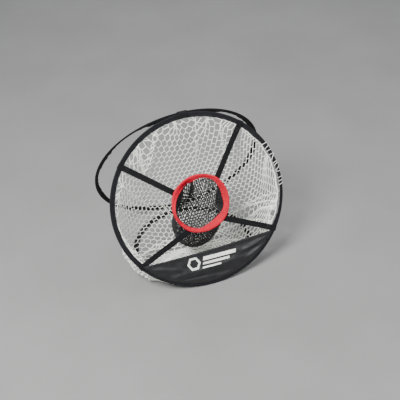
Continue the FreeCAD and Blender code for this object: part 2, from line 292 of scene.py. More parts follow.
def metal(name, color, roughness):
    """Drawn steel with fine streaks and faint stains."""
    nodes = Nodes(name, Roughness=roughness, Metallic=1.0)
    place = nodes.place("Object")
    stain = nodes.noise(place, 40.0)
    streak = nodes.noise(place, 900.0, 2.0)
    return nodes.finish(nodes.shaded(stain, color, 0.2, 0.35, 0.7), streak, 0.3, 0.0001)


def coated_nylon(name, color):
    """Fine coated nylon: a close weave with a soft uneven shine."""
    nodes = Nodes(name, Roughness=0.42, Sheen_Weight=0.04, Specular_IOR_Level=0.32)
    place = nodes.place("UV")
    weave = nodes.weave(place, 0.0007)
    patch = nodes.noise(place, 45.0, 4.0)
    rough = nodes.math("ADD", nodes.math("MULTIPLY", patch, 0.25), 0.30)
    nodes.tree.links.new(rough, nodes.shader.inputs["Roughness"])
    height = nodes.math("ADD", weave, nodes.math("MULTIPLY", patch, 2.0))
    return nodes.finish(nodes.shaded(patch, color, 0.22, 0.35, 0.68), height, 0.35, 0.0003)


def screen_print(name, color):
    """Opaque ink that the weave below shows through a little."""
    nodes = Nodes(name, Roughness=0.55)
    place = nodes.place("Object")
    weave = nodes.noise(place, 1600.0, 2.0)
    patch = nodes.noise(place, 120.0, 3.0)
    return nodes.finish(nodes.shaded(patch, color, 0.12, 0.3, 0.7), weave, 0.4, 0.0002)


FRONT_TAPE = woven("front_tape", (0.008, 0.008, 0.010), 0.0009, sheen=0.03)
REAR_TAPE = woven("rear_tape", (0.005, 0.005, 0.006), 0.0009, sheen=0.02)
WEBBING = woven("webbing_weave", (0.005, 0.005, 0.006), 0.0016, sheen=0.02, depth=0.0006)
TARGET_TAPE = woven(
    "target_tape_weave", (0.46, 0.005, 0.022), 0.0009, sheen=0.0, roughness=0.7, spread=0.22
)
PANEL_NYLON = coated_nylon("panel_nylon_coated", (0.012, 0.012, 0.013))
PRINT = screen_print("screen_print", (0.72, 0.73, 0.69))
WHITE_YARN = yarn("white_yarn", (0.93, 0.94, 0.87), spread=0.10)
BLACK_YARN = yarn("black_yarn", (0.007, 0.007, 0.008), sheen=0.02)
THREAD = yarn("thread_fibre", (0.015, 0.015, 0.017))
RED_THREAD = yarn("red_thread_fibre", (0.62, 0.03, 0.04))
SPRING_STEEL = metal("spring_steel_drawn", (0.55, 0.56, 0.58), 0.32)
CRIMP_STEEL = metal("crimp_steel", (0.62, 0.63, 0.65), 0.4)


def dress(piece, material, body, slot, *replaced):
    """Gives a finished piece its material and body, and hides the CAD nodes it stands for. Its slot
    is not used.
    """
    piece.data.materials.append(material)
    if body:
        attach(piece, body)
    if replaced:
        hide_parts(*replaced)


# ---------------------------------------------------------------- sewn tape round a hoop

# Half of a sleeve's section, as (inward from the wire, off the middle), in millimetres.
HALF_SECTION = (
    (12.8, 0.85), (11.4, 1.05), (9.8, 0.95), (8.0, 1.0), (6.2, 1.25), (4.6, 1.8), (3.2, 2.5),
    (1.7, 3.0), (0.2, 3.2), (-1.4, 2.9), (-2.6, 2.0), (-3.2, 0.7),
)
HEM = 0.0128  # how far the section reaches inward from the wire
# Where the straps meet the front hoop, and where they draw the target's tape out, in degrees.
STRAP_ENDS = (143.5, 50.4, -33.2, -142.4)
DRAWN_AT = (145.0, 46.0, -43.0, -122.0)
THREAD_RADIUS = 0.0003


def tape_sleeve(name, plane, radius, roll, width, seed, count, swell=0.0, drawn=()):
    """Tape folded over a hoop's wire and sewn along its inner edge, with count sections. roll
    turns the tape about the wire and width scales it, both for an array of angles; swell puffs
    it out. It is drawn outwards at some angles, in degrees. Also returns its points."""
    angle = np.arange(count) * 2 * math.pi / count
    half = np.array(HALF_SECTION) * MM
    inward = np.concatenate((half[:, 0], half[::-1, 0]))
    off = np.concatenate((half[:, 1], -half[::-1, 1]))
    flat = np.clip(inward / HEM, 0.0, 1.0)
    turn, wide = roll(angle), width(angle)
    reach = np.where(inward > 0, inward * wide[:, None], inward)
    pucker = ripple(angle, seed, 60, 170, 1.0)[:, None] * (0.25 + flat) * 0.00028
    lean = ripple(angle, seed + 1, 25, 70, 1.0)[:, None] * flat * 0.0006
    thick = off * (1 + swell * np.sin(flat * math.pi)) + lean + np.sign(off) * pucker
    reach = reach + ripple(angle, seed + 2, 30, 90, 0.0004)[:, None] * flat
    a = reach * np.cos(turn)[:, None] - thick * np.sin(turn)[:, None]
    b = reach * np.sin(turn)[:, None] + thick * np.cos(turn)[:, None]
    # Between the angles at which it is drawn out, the tape sinks in a little.
    pulled = 0.0022 * bump_at(angle, drawn, 16.0) - 0.0009 if drawn else np.zeros(count)
    r = radius - a + pulled[:, None]
    points = plane.at(r * np.cos(angle)[:, None], r * np.sin(angle)[:, None], b)
    v = np.concatenate(([0.0], np.cumsum(np.hypot(np.diff(inward), np.diff(off))), [0.04]))
    piece = grid(name, points, np.append(angle, 2 * math.pi) * radius, v, (True, True))
    return piece, points


def stitches(name, start, end, lift):
    """Short threads from start to end points, each bowed by lift."""
    u = np.linspace(0, 1, 4)
    along, up = end - start, unit(lift)
    middle = start[:, None] + along[:, None] * u[None, :, None]
    middle = middle + lift[:, None] * (np.sin(u * math.pi) - 0.4)[None, :, None]
    size = THREAD_RADIUS * (0.5 + 0.5 * np.sin(u * math.pi))
    rings = circles(5, np.cross(unit(along), up), up)
    return tubes(name, middle[:, :, None] + size[None, :, None, None] * rings[:, None])


def sew_hem(label, skin, material, body, slot):
    """A row of stitches on each face of a sleeve, between two columns of its points: two
    sections long in every three."""
    for face, column, other in (("front", 1, 2), ("back", -2, -3)):
        row = skin[:, column] * 0.7 + skin[:, other] * 0.3
        back = skin[:, -1 - column] * 0.7 + skin[:, -1 - other] * 0.3
        count = len(row) // 3 * 3
        lift = unit((row - back)[0:count:3]) * 0.00035
        seam = stitches(f"{label}_{face}_stitches", row[0:count:3], row[2:count:3], lift)
        dress(seam, material, body, slot)


def front_roll(angle):
    """The front sleeve rolls forward along its right side, but lies flat under each strap. It
    rolls back only a little, because the rear hoop folds up behind it."""
    roll = ripple(angle, 11, 2, 5, 0.25) + 0.75 * bump_at(angle, (5.0,), 42.0)
    return np.maximum(roll, -0.04) * (1 - bump_at(angle, (*STRAP_ENDS, 90.0, -90.0), 7.0))


def rear_roll(angle):
    """The rear sleeve rolls only away from the front hoop, so that the two fold together."""
    roll = ripple(angle, 23, 2, 6, 0.45) - 0.5 * bump_at(angle, (165.0,), 30.0)
    return np.minimum(roll, 0.04) * (1 - bump_at(angle, (90.0, -90.0), 8.0))


def base_roll(angle):
    """The base sleeve lies almost flat."""
    return ripple(angle, 31, 2, 6, 0.10) * (1 - bump_at(angle, (90.0, -90.0), 12.0))


def target_roll(angle):
    """The pocket net draws the target's tape back, all but along its left side, where it has
    turned over to the front."""
    roll = -0.12 - 0.30 * bump_at(angle, (-65.0,), 48.0) - 0.28 * bump_at(angle, (12.0,), 34.0)
    roll = roll - 0.42 * bump_at(angle, (118.0,), 30.0) + 1.15 * bump_at(angle, (194.0,), 32.0)
    return roll + ripple(angle, 47, 5, 9, 0.08)


def even(angle):
    """The width of the hoops' sleeves."""
    return 1.12 + ripple(angle, 3, 3, 9, 0.03)


def target_width(angle):
    """The target's tape is wide along its right and at its upper left, and gathered elsewhere."""
    wide = 0.85 + 0.95 * bump_at(angle, (-60.0,), 32.0) + 0.80 * bump_at(angle, (8.0,), 28.0)
    wide = wide + 0.95 * bump_at(angle, (122.0,), 30.0)
    return wide + ripple(angle, 5, 4, 12, 0.06)


HOOPS = (
    ("front_hoop", FRONT, HOOP_RADIUS, front_roll, "front_frame", "front_sleeve", FRONT_TAPE, 101),
    ("rear_hoop", REAR, HOOP_RADIUS, rear_roll, "rear_hoop", "rear_sleeve", REAR_TAPE, 202),
    ("base_hoop", BASE, BASE_RADIUS, base_roll, "base_hoop", "rear_sleeve", REAR_TAPE, 303),
)
skins = {}
for hoop, plane, radius, roll, body, slot, material, seed in HOOPS:
    count = 900 if plane is BASE else 1200
    sleeve, skins[hoop] = tape_sleeve(f"{hoop}_tape", plane, radius, roll, even, seed, count)
    dress(sleeve, material, body, slot, f"{hoop}_sleeve")
    sew_hem(hoop, skins[hoop], THREAD, body, "thread")

sleeve, skin = tape_sleeve(
    "target_ring_tape", TARGET, TARGET_RADIUS, target_roll, target_width, 404, 420, 0.6, DRAWN_AT
)
dress(sleeve, TARGET_TAPE, "front_frame", "target_tape", "target_ring_sleeve")
sew_hem("target_ring", skin, RED_THREAD, "front_frame", "target_tape")

# Along the front hoop's right side the netting is laced over its tape, at these angles.
LACED = np.radians((-2.5, 0.5, 3, 6.5, 9, 12, 14, 17.5, 19.5, 22.5, 25.5, 28.5))
LACE_RADIUS, LACE_LIFT = 0.0009, 0.0011


def lacing(skin):
    """Loops of white yarn round the front sleeve, a little slanted and uneven."""
    rng = np.random.default_rng(77)
    loops = []
    for turn in LACED:
        angle = turn + rng.uniform(-0.008, 0.008)
        around = -math.sin(angle) * X + math.cos(angle) * FRONT.up
        row = skin[int(round(angle / (2 * math.pi) * len(skin))) % len(skin)]
        loop = smooth_path(np.vstack((row, row[:1])), 1)
        away = loop - loop.mean(axis=0)
        away = away - (away @ around)[:, None] * around
        slant = around * (away @ X)[:, None] * rng.uniform(-0.5, 0.9)
        path = loop + unit(away) * LACE_LIFT + slant
        tangent = unit(np.gradient(path, axis=0))
        side = unit(np.cross(tangent, unit(away)))
        loops.append(path[:, None] + LACE_RADIUS * circles(6, side, np.cross(side, tangent)))
    return tubes("catch_net_lacing", np.array(loops))


dress(lacing(skins["front_hoop"]), WHITE_YARN, "front_frame", "white_net")

for node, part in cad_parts.items():
    for ending, material in (("_wire", SPRING_STEEL), ("_ferrule", CRIMP_STEEL), ("_seam", THREAD)):
        if node.endswith(ending):
            part.data.materials.clear()
            part.data.materials.append(material)


# ---------------------------------------------------------------- webbing straps

# Each strap's middle line beside the target ring (across and up from the front hoop's centre,
# in millimetres) and its direction from there in degrees.
STRAPS = {
    "strap_upper_left": (-89.0, 54.0, 140.8),
    "strap_upper_right": (84.0, 69.0, 57.1),
    "strap_lower_right": (89.0, -89.0, -24.5),
    "strap_lower_left": (-48.0, -98.0, -156.1),
}
# Half of a strap's section, as (across, off its middle), in millimetres.
WEBBING_HALF = (
    (-10.0, 0.0), (-9.85, 0.55), (-9.3, 0.85), (-7.5, 0.8), (-4.5, 0.85), (-1.5, 0.8),
    (1.5, 0.8), (4.5, 0.85), (7.5, 0.8), (9.3, 0.85), (9.85, 0.55), (10.0, 0.0),
)
# A strap starts at the first radius from the target's centre, reaches the front sleeve's hem
# at the second radius from the hoop's centre, and turns round its outer edge at the third.
STRAP_START, STRAP_HEM, STRAP_EDGE = 0.097, 0.284, 0.3036
# Lines of stitches as (along from the hem, across) of their ends, in millimetres.
SEWN = (((-7, -8), (-7, 8)), ((-17, -8), (-17, 8)), ((-7, -8), (-17, 8)), ((-17, -8), (-7, 8)))


def webbing(name, path, sides, faces):
    """Flat webbing along a path, with its width along sides and its faces along faces."""
    half = np.array(WEBBING_HALF) * MM
    section = np.vstack((half, half[-2:0:-1] * (1, -1)))
    points = path[:, None] + section[None, :, :1] * sides[:, None]
    points = points + section[None, :, 1:] * faces[:, None]
    v = np.append(lengths_along(section), 0.0425)
    rows, columns = points.shape[:2]
    faces, uv = grid_faces(rows, columns, lengths_along(path), v, (False, True))
    near = np.arange(columns)
    ends = [near[::-1].tolist(), (near + (rows - 1) * columns).tolist()]
    uv = np.concatenate((uv.reshape(-1, 2), np.zeros((2 * columns, 2))))
    return new_mesh(name, points, faces + ends, uv, flat=len(ends))


def strap(label, across, up, degrees, phase):
    """A strap from behind the target ring's tape, over the front hoop's sleeve and round it,
    with a cross of stitches in a box where it is sewn to the sleeve. phase sets its twist."""
    turn = math.radians(degrees)
    along = np.array((math.cos(turn), math.sin(turn)))
    start = np.array((across, up)) * MM

    def reach(radius):
        """How far along the strap's line it meets a circle about the hoop's centre."""
        middle = start @ along
        return -middle + math.sqrt(middle**2 - start @ start + radius**2)

    ring = TARGET.centre - FRONT.centre
    ring = np.array((ring @ X, ring @ FRONT.up))
    to_ring = (ring - start) @ along
    aside = np.sum((ring - start - to_ring * along) ** 2)
    near = to_ring + math.sqrt(max(0.0, STRAP_START**2 - aside))
    hem, edge = reach(STRAP_HEM), reach(STRAP_EDGE)
    # (along the strap, out of the hoop's plane)
    profile = (
        (near, -0.0046), (near + 0.010, -0.0046), (near + 0.020, -0.0034),
        (0.5 * (near + hem), -0.0036), (hem - 0.022, -0.0008), (hem - 0.006, 0.0022),
        (hem + 0.006, 0.0030), (edge - 0.006, 0.0044), (edge - 0.002, 0.0040),
        (edge, 0.0020), (edge + 0.0002, -0.0004),
    )
    line = smooth_path(profile)
    s, out = line[:, 0], line[:, 1]
    path = FRONT.at(start[0] + s * along[0], start[1] + s * along[1], out)
    tangent = unit(np.gradient(path, axis=0))
    side = -math.sin(turn) * X + math.cos(turn) * FRONT.up
    middle = np.clip((s - near) / (hem - near), 0, 1)
    twist = 0.16 * math.sin(phase) * np.sin(middle * math.pi) * (s < hem)
    face = np.cross(tangent, side)
    sides = side * np.cos(twist)[:, None] + face * np.sin(twist)[:, None]
    piece = webbing(f"{label}_webbing", path, sides, np.cross(tangent, sides))
    dress(piece, WEBBING, "front_frame", "webbing", label)
    lines = np.array([np.linspace(a, b, 8) * MM for a, b in SEWN])
    spot = np.stack((hem + lines[..., 0], lines[..., 1]), axis=-1)
    height = np.interp(spot[..., 0], s, out) + 0.0009  # just over the webbing
    flat = start + spot[..., :1] * along + spot[..., 1:] * np.array((-along[1], along[0]))
    points = FRONT.at(flat[..., 0], flat[..., 1], height)
    begin = points[:, :-1].reshape(-1, 3)
    finish = (points[:, :-1] * 0.25 + points[:, 1:] * 0.75).reshape(-1, 3)
    lift = np.broadcast_to(FRONT.out * 0.0003, begin.shape)
    dress(stitches(f"{label}_stitches", begin, finish, lift), THREAD, "front_frame", "thread")


for order, (label, (across, up, degrees)) in enumerate(STRAPS.items()):
    strap(label, across, up, degrees, order * 1.7 + 1.0)


# ---------------------------------------------------------------- front panel and print

PANEL_TOP = -0.173
PANEL_REACH = 0.2925  # the radius of its curved edge
PANEL_OFF = 0.0044  # how far that edge stands off the hoop's plane
INK_LIFT = 0.00045
# Each fold's height, its line (level where it starts and its slope), width, middle and length.
FOLDS = (
    (0.0060, 0.52, -0.12, 0.085, 0.05, 0.70), (0.0030, 0.84, 0.02, 0.050, 0.25, 0.50),
    (0.0034, 0.62, 0.52, 0.065, -0.72, 0.30), (0.0060, 0.60, -0.62, 0.060, 0.66, 0.28),
    (0.0045, 0.95, -0.85, 0.050, 0.68, 0.24), (0.0040, 1.10, 0.75, 0.050, -0.62, 0.22),
    (0.0030, 0.30, -0.12, 0.060, 0.35, 0.40), (-0.0035, 0.72, 0.05, 0.040, -0.25, 0.50),
)
# The hem's section, as how far it is above the panel's top edge and off the cloth.
HEM_BAND = (0.0004, -0.0012, -0.0020, -0.0110, -0.0118, -0.0113, -0.0020, 0.0004)
HEM_LIFT = (0.0003, 0.0011, 0.0012, 0.0011, 0.0005, -0.0004, -0.0009, -0.0007)


def panel_top(across):
    """The panel's top edge: a little higher on the right, and slack in its middle."""
    return PANEL_TOP + 0.030 * across - 0.006 * np.cos(np.clip(across / 0.24, -1, 1) * math.pi / 2)


def panel_height(across, up):
    """How far the panel stands off its hoop's plane: slack folds that run in from its corners."""
    u, w = across / 0.25, np.clip((PANEL_TOP - up) / 0.125, -0.1, 1.1)
    level = np.clip(w, 0, 1)
    rise = 0.0085 * (1 - u**2) * np.sin(level**1.2 * math.pi)
    for size, start, slope, width, middle, length in FOLDS:
        aside = (w - start - slope * u) / width
        rise = rise + size * np.exp(-(aside**2) - ((u - middle) / length) ** 2)
    fine = 0.0007 * np.sin(31 * u + 9 * w) * np.sin(13 * u - 17 * w) * np.cos(u * 1.3)
    return 0.0042 + (rise + fine) * np.minimum(1, level * 5 + 0.35)


def build_panel():
    """Loose nylon across the foot of the front hoop, sewn to its sleeve along its curved edge."""
    side = math.sqrt(PANEL_REACH**2 - PANEL_TOP**2)
    across = np.linspace(-side, side, 221)
    foot = -np.sqrt(np.maximum(PANEL_REACH**2 - across**2, 0))
    top = np.maximum(panel_top(across), foot)
    share = np.linspace(0, 1, 61)[:, None]
    up = top + (foot - top) * share
    flat = np.broadcast_to(across, up.shape)
    height = panel_height(flat, up)
    # The edge sinks to the sleeve that it is sewn on.
    rim = np.clip((PANEL_REACH - np.hypot(flat, up)) / 0.012, 0, 1)
    height = PANEL_OFF + (height - PANEL_OFF) * (rim * rim * (3 - 2 * rim))
    face, back = (FRONT.at(flat, up, height + lift) for lift in (0.00025, -0.00025))
    run = np.concatenate((share[:, 0], share[::-1, 0], (0.0,))) * 0.12
    skin = np.concatenate((face, back[::-1]))
    panel = grid("front_panel_cloth", skin, run, across + 0.3, (True, False))
    dress(panel, PANEL_NYLON, "front_frame", "panel_nylon", "front_panel")
    # The hem is the same nylon turned over, with two rows of stitches down its length.
    line = across[6:-6]
    up = top[None, 6:-6] + np.array(HEM_BAND)[:, None]
    flat = np.broadcast_to(line, up.shape)
    points = FRONT.at(flat, up, panel_height(flat, up) + np.array(HEM_LIFT)[:, None])
    hem = grid("panel_hem_cloth", points, np.arange(9) * 0.003, line, (True, False))
    dress(hem, PANEL_NYLON, "front_frame", "panel_nylon", "front_panel_hem")
    u = np.arange(-side + 0.02, side - 0.02, 0.0032)
    for count, drop in enumerate((0.0024, 0.0100)):
        ends = []
        for shift in (0.0, 0.0023):
            v = np.interp(u + shift, across, top) - drop
            ends.append(FRONT.at(u + shift, v, panel_height(u + shift, v) + 0.0013))
        rise = np.broadcast_to(FRONT.out * 0.0003, ends[0].shape)
        seam = stitches(f"panel_hem_stitches_{count}", ends[0], ends[1], rise)
        dress(seam, THREAD, "front_frame", "thread")
    return panel, hem


def joined(name, parts):
    """One object made of several."""
    bpy.ops.object.select_all(action="DESELECT")
    for part in parts:
        part.select_set(True)
    bpy.context.view_layer.objects.active = parts[0]
    bpy.ops.object.join()
    piece = bpy.context.view_layer.objects.active
    piece.name = piece.data.name = name
    return piece


panel, hem = build_panel()

# The print, in millimetres from the front hoop's centre: each stripe's left end, how far down its
# middle is, its length and height; and the hexagon's middle (across and down), outer and inner size.
STRIPES = ((-22.0, 203.0, 118.0, 12.0), (-26.0, 219.0, 96.0, 8.0), (-30.0, 232.0, 66.0, 5.0))
HEXAGON = (-57.0, 213.0, 24.0, 16.0)


def printed(name, flat):
    """A patch of ink on the panel: a grid of points (across, up), raised to the cloth."""
    height = panel_height(flat[..., 0], flat[..., 1]) + INK_LIFT
    points = FRONT.at(flat[..., 0], flat[..., 1], height)
    u, v = np.arange(flat.shape[0]) * 0.002, np.arange(flat.shape[1]) * 0.002
    return grid(name, points, u, v)


def build_print():
    """A hexagon outline and three slanted stripes, in off-white ink."""
    parts = []
    for count, (left, down, length, height) in enumerate(STRIPES):
        across = np.linspace(left, left + length, 60)[None, :]
        up = -down + np.linspace(height / 2, -height / 2, 10)[:, None]
        slant = (up + down) * 0.35
        flat = np.stack(np.broadcast_arrays(across + slant, up), axis=-1) * MM
        parts.append(printed(f"print_stripe_{count}", flat))
    across, down, outer, inner = HEXAGON
    corners = np.array([(math.cos(a), math.sin(a)) for a in np.arange(7) * math.pi / 3])
    sides = [np.linspace(a, b, 12, endpoint=False) for a, b in zip(corners, corners[1:])]
    rim = np.vstack((*sides, corners[:1]))
    size = np.linspace(inner, outer, 6)
    flat = (np.array((across, -down)) + size[:, None, None] * rim[None]) * MM
    parts.append(printed("print_hexagon", flat))
    return joined("panel_print_ink", parts)


dress(build_print(), PRINT, "front_frame", "print", "panel_print")


# ---------------------------------------------------------------- netting


def honeycomb(radius, side, wide):
    """Knots and strands of a flat disc of hexagonal netting whose meshes are stretched across
    by wide and shortened by as much. A strand that crosses the rim ends there. Returns knots,
    strands as pairs, and which knots are on the rim."""
    many = int(radius / side) + 3
    i, j = (a.ravel() for a in np.meshgrid(np.arange(-many, many), np.arange(-many, many)))
    shape = np.array((wide, 1 / wide)) * side
    step_a = np.array((math.sqrt(3), 0.0)) * shape
    step_b = np.array((math.sqrt(3) / 2, 1.5)) * shape
    low = i[:, None] * step_a + j[:, None] * step_b
    high = low + (0.0, shape[1])
    pairs = [(low, high), (high, low + step_b), (high, low + step_b - step_a)]
    start = np.vstack([a for a, _ in pairs])
    end = np.vstack([b for _, b in pairs])
    inside_a, inside_b = (np.hypot(*p.T) <= radius for p in (start, end))
    swap = ~inside_a
    start[swap], end[swap] = end[swap].copy(), start[swap].copy()
    keep = inside_a | inside_b
    start, end, whole = start[keep], end[keep], (inside_a & inside_b)[keep]
    along = end - start
    a, b = np.sum(along**2, 1), np.sum(start * along, 1)
    c = np.sum(start**2, 1) - radius**2
    share = (-b + np.sqrt(np.maximum(b * b - a * c, 0))) / a
    end[~whole] = (start + along * share[:, None])[~whole]
    points = np.vstack((start, end))
    cells = np.round(points / (side * 0.05)).astype(int)
    _, first, index = np.unique(cells, axis=0, return_index=True, return_inverse=True)
    knots = points[first]
    strands = index.ravel().reshape(2, -1).T
    rim = np.zeros(len(knots), bool)
    rim[strands[~whole, 1]] = True
    return knots, strands[strands[:, 0] != strands[:, 1]], rim


def next_but_one(strands, count):
    """Pairs of knots that share a neighbour."""
    near = [[] for _ in range(count)]
    for a, b in strands.tolist():
        near[a].append(b)
        near[b].append(a)
    pairs = [(p, q) for around in near for n, p in enumerate(around) for q in around[n + 1 :]]
    return np.array(pairs)


def pull(places, pairs, lengths, free, longest, strength=0.5):
    """Moves the ends of each pair together where they are further apart than lengths, or apart
    where they are nearer, by a share of what is wrong."""
    a, b = pairs.T
    gap = places[b] - places[a]
    size = np.maximum(np.linalg.norm(gap, axis=1), 1e-9)
    wrong = np.maximum(size - lengths, 0) if longest else np.minimum(size - lengths, 0)
    move = gap * (strength * wrong / size)[:, None]
    for axis in range(3):
        total = np.bincount(a, move[:, axis], len(places))
        total = total - np.bincount(b, move[:, axis], len(places))
        places[:, axis] += total * free * 0.6


def settle(places, strands, lengths, fixed, side, steps, drop, limit):
    """Lets slack netting hang: its knots fall, its strands hold them, and its meshes stay open,
    because knots that share a neighbour keep half a side apart."""
    free = (~fixed).astype(float)
    apart = next_but_one(strands, len(places))
    for _ in range(steps):
        places[:, 2] -= drop * free
        for _ in range(6):
            pull(places, apart, side * 0.5, free, False, 0.25)
            pull(places, strands, lengths, free, True)
        limit(places, free)
    return places


PLEAT_DEPTH = 0.006


def gathered(angle, share, pleats):
    """Folds netting over itself at each pleat, which is (its angle and width in degrees, how
    much it draws in). Returns the angles, and how far each knot stands behind its layer."""
    rise = np.zeros_like(angle)
    for centre, width, pull_in in pleats:
        off = np.angle(np.exp(1j * (angle - math.radians(centre))))
        near = np.exp(-((off / math.radians(width)) ** 2)) * share**0.8
        angle = angle - pull_in * off * near
        rise = rise + PLEAT_DEPTH * pull_in * off / math.radians(width) * near
    return angle, rise


def bag_place(knots, radius, sections, plane, seed, pleats, spill, lean):
    """Wraps a flat disc onto a bag whose sections are (depth, down, radius) in millimetres. It
    spills out at its lower left by that share, and leans to the right as it gets deeper."""
    rings = np.array(sections) * MM
    run = lengths_along(rings[:, (0, 2)])
    total = run[-1] + rings[-1, 2]
    share = np.hypot(*knots.T) / radius
    angle, behind = gathered(np.arctan2(knots[:, 1], knots[:, 0]), share, pleats)
    place = np.clip((1 - share) * total, 0, total)
    depth = np.interp(place, run, rings[:, 0])
    down = np.interp(place, run, rings[:, 1])
    size = np.where(place < run[-1], np.interp(place, run, rings[:, 2]), total - place)
    bulge = np.exp(-((np.angle(np.exp(1j * (angle - SPILL_AT))) / SPILL_WIDTH) ** 2))
    size = size * (1 + spill * bulge * np.sin(np.clip(share, 0, 1) ** 2 * math.pi))
    rng = np.random.default_rng(seed)
    depth = depth + (rng.uniform(-0.0015, 0.0015, len(knots)) + behind) * (share < 0.99)
    return plane.at(size * np.cos(angle) + lean * depth, size * np.sin(angle) - down, -depth)


def netting(name, places, strands, lengths, thickness, seed):
    """Yarn along each strand, slack where its ends have come together, thicker at its knots."""
    rng = np.random.default_rng(seed)
    start, end = places[strands[:, 0]], places[strands[:, 1]]
    along = end - start
    size = np.maximum(np.linalg.norm(along, axis=1), 1e-6)
    direction = along / size[:, None]
    slack = np.minimum(np.sqrt(np.maximum(lengths**2 - size**2, 0)) * 0.35, lengths * 0.22)
    bow = rng.normal(size=along.shape) + (0, 0, -0.8)
    bow = bow - np.sum(bow * direction, 1)[:, None] * direction
    bow = unit(bow) * slack[:, None]
    side = unit(np.cross(direction, bow + rng.normal(size=bow.shape) * 1e-5))
    u = np.linspace(-0.02, 1.02, 6)
    middle = start[:, None] + along[:, None] * u[None, :, None]
    middle = middle + bow[:, None] * np.sin(np.clip(u, 0, 1) * math.pi)[None, :, None]
    width = thickness / 2 * (1 + 0.45 * np.abs(2 * u - 1) ** 6)
    width = width * np.where((u < 0) | (u > 1), 0.8, 1.0)
    rings = circles(6, side, 0.85 * np.cross(direction, side))
    return tubes(name, middle[:, :, None] + width[None, :, None, None] * rings[:, None])


def rope(name, points, thickness):
    """A closed cord through a ring of points, of three strands that turn once in about 12 mm."""
    tangent = unit(np.roll(points, -1, 0) - np.roll(points, 1, 0))
    side = unit(np.cross(tangent, FRONT.out))
    length = lengths_along(np.vstack((points, points[:1])))
    turns = round(length[-1] / 0.012)
    angle = np.arange(24) * 2 * math.pi / 24
    phase = length[:-1] / length[-1] * 2 * math.pi * turns
    size = thickness / 2 * (0.86 + 0.14 * np.abs(np.cos(1.5 * (angle[None] - phase[:, None]))))
    rings = points[:, None] + size[..., None] * circles(24, side, np.cross(side, tangent))
    return grid(name, rings, length, np.arange(25) * thickness / 8, (True, True))


# The bags' sections, as (behind the mouth, down, radius) in millimetres.
CATCH_BAG = (
    (3.0, 0.0, 283.0), (30.0, 8.0, 265.0), (68.0, 20.0, 230.0), (108.0, 44.0, 180.0),
    (136.0, 82.0, 112.0),
)
POCKET_BAG = ((2.5, 0.0, 83.0), (35.0, 11.0, 88.0), (75.0, 31.0, 84.0), (106.0, 52.0, 60.0))
# The radius of each flat disc of netting, and the side of its meshes.
CATCH_CUT, CATCH_SIDE = 0.436, 0.0112
POCKET_CUT, POCKET_SIDE = 0.215, 0.0078
POCKET_MOUTH = 0.083
# The mouth of the pocket and its border cord stand this far behind the target's tape.
MOUTH_BEHIND, BORDER_BEHIND = 0.0015, 0.0032
# The catch net bulges out at the lower left, in radians about the front hoop's centre.
SPILL_AT, SPILL_WIDTH = math.radians(195), 0.32
# The lowest that the catch net's knots hang over the ground and over the base hoop, and how far
# they stay behind the front hoop's plane and before the rear hoop's. Then the pocket's.
CATCH_GROUND, CATCH_BASE, CATCH_BEHIND, CATCH_BEFORE = 0.0085, 0.0115, 0.0055, 0.012
POCKET_GROUND, POCKET_BEHIND = 0.012, 0.006


def keep_catch_net(places, free):
    """The catch net stays over the ground and the base hoop, behind the front hoop's plane and
    in front of the rear hoop's."""
    x, y = places[:, 0], places[:, 1]
    off = np.abs(np.hypot(x, y - BASE.centre[1]) - BASE_RADIUS + 0.004)
    ground = np.where(off < 0.016, CATCH_BASE, CATCH_GROUND)
    places[:, 2] = np.maximum(places[:, 2], ground)
    over = np.maximum((places - FRONT.centre) @ FRONT.out + CATCH_BEHIND, 0) * free
    places -= FRONT.out * over[:, None]
    short = np.maximum(CATCH_BEFORE - (places - REAR.centre) @ REAR.out, 0) * free
    places += REAR.out * short[:, None]


def keep_pocket_net(places, free):
    """The pocket stays over the ground and behind the front hoop's plane."""
    over = np.maximum((places - FRONT.centre) @ FRONT.out + POCKET_BEHIND, 0) * free
    places -= FRONT.out * over[:, None]
    places[:, 2] = np.maximum(places[:, 2], POCKET_GROUND)


def target_hem(angle, behind):
    """A line behind the inner edge of the target's tape: its radius and how far it stands out."""
    roll, reach = target_roll(angle), HEM * target_width(angle) - 0.0015
    inward = reach * np.cos(roll) + behind * np.sin(roll)
    return TARGET_RADIUS - inward, reach * np.sin(roll) - behind * np.cos(roll)


def draw_to_hem(places, share):
    """Moves the pocket's mouth behind the edge of the target's tape."""
    flat = places - TARGET.centre
    u, v, out = flat @ X, flat @ TARGET.up, flat @ TARGET.out
    angle = np.arctan2(v, u)
    radius, lift = target_hem(angle, MOUTH_BEHIND)
    near = share**5
    size = np.hypot(u, v)
    size = size + (radius - POCKET_MOUTH) * near
    across = size * np.cos(angle) - 0.012 * (1 - near)
    return TARGET.at(across, size * np.sin(angle), out + lift * near)


def draw_folds(places, free, folds):
    """Gathers netting into pleats along lines in the front hoop's plane, in millimetres. A pleat
    folds the netting back under itself and draws in what lies beside it."""
    width, depth = 0.012, 0.007
    flat = places - FRONT.centre
    u, v = flat @ X, flat @ FRONT.up
    for start, end, size in folds:
        start, end = np.array(start) * MM, np.array(end) * MM
        length = np.linalg.norm(end - start)
        along = (end - start) / length
        t = ((u - start[0]) * along[0] + (v - start[1]) * along[1]) / length
        off = (v - start[1]) * along[0] - (u - start[0]) * along[1]
        part = free / (1 + np.exp((t - 0.9) * 9)) / (1 + np.exp((-0.12 - t) * 30))
        away = off / width
        across = along[0] * FRONT.up - along[1] * X
        places = places - (off * size * part / (1 + away**2))[:, None] * across
        ridge = (depth + 0.35 * off) * np.exp(-(away**2)) * part
        places = places + ridge[:, None] * FRONT.out
    return places


